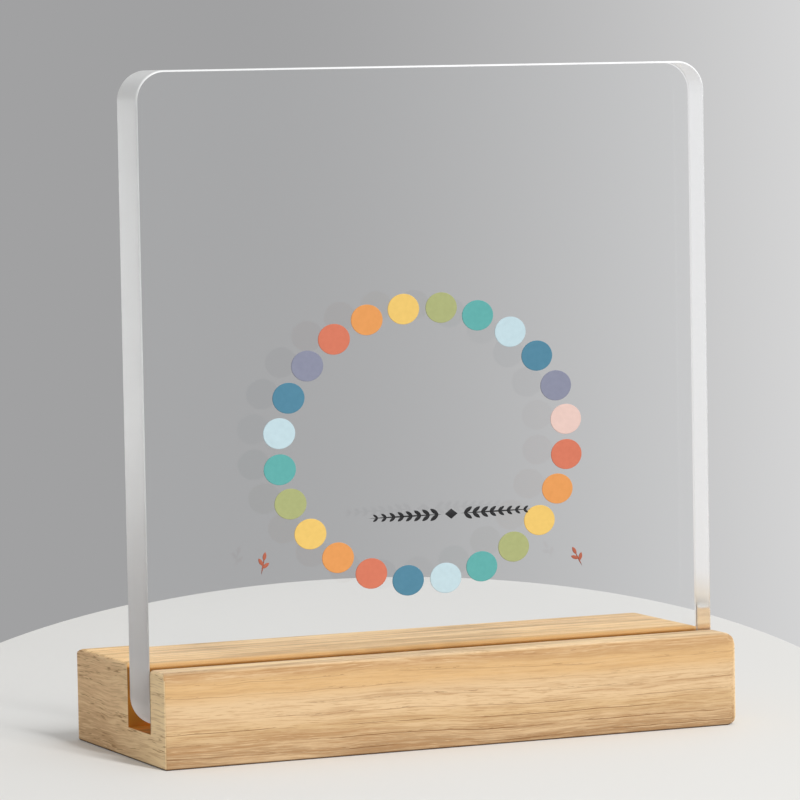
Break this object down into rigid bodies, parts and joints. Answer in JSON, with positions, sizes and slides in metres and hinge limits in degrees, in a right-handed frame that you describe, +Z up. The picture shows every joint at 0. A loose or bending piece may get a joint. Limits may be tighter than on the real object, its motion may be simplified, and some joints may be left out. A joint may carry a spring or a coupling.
{
  "type": "acrylic desk sign",
  "caption": "Thick clear acrylic plate with round corners and a printed oval ring of coloured dots, standing loose in the slot of a pale wooden bar on a desk.",
  "frame": {"origin": "on the table, under the middle of the wooden bar", "axes": "+X along the bar to the right as the sign is read, +Y to the rear, +Z up"},
  "size_m": [0.1354, 0.0536, 0.1461],
  "materials": {
    "pale_wood": "satin",
    "clear_acrylic": "polished",
    "ink_yellow": "satin",
    "ink_orange": "satin",
    "ink_coral": "satin",
    "ink_mauve": "satin",
    "ink_blue": "satin",
    "ink_light_blue": "satin",
    "ink_teal": "satin",
    "ink_olive": "satin",
    "ink_pink": "satin"
  },
  "bodies": {
    "bar": {"wooden_base": "pale_wood"},
    "plate": {"acrylic_plate": "clear_acrylic", "ink_dot_01": "ink_yellow", "ink_dot_02": "ink_orange", "ink_dot_03": "ink_coral", "ink_dot_04": "ink_mauve", "ink_dot_05": "ink_blue", "ink_dot_06": "ink_light_blue", "ink_dot_07": "ink_teal", "ink_dot_08": "ink_olive", "ink_dot_09": "ink_yellow", "ink_dot_10": "ink_orange", "ink_dot_11": "ink_coral", "ink_dot_12": "ink_blue", "ink_dot_13": "ink_light_blue", "ink_dot_14": "ink_teal", "ink_dot_15": "ink_olive", "ink_dot_16": "ink_yellow", "ink_dot_17": "ink_orange", "ink_dot_18": "ink_coral", "ink_dot_19": "ink_pink", "ink_dot_20": "ink_mauve", "ink_dot_21": "ink_blue", "ink_dot_22": "ink_light_blue", "ink_dot_23": "ink_teal", "ink_dot_24": "ink_olive"}
  },
  "joints": [
    {"name": "plate_lift", "type": "slide", "parent": "bar", "child": "plate", "axis": [0, 0, 1], "range_m": [0, 0.022]}
  ]
}
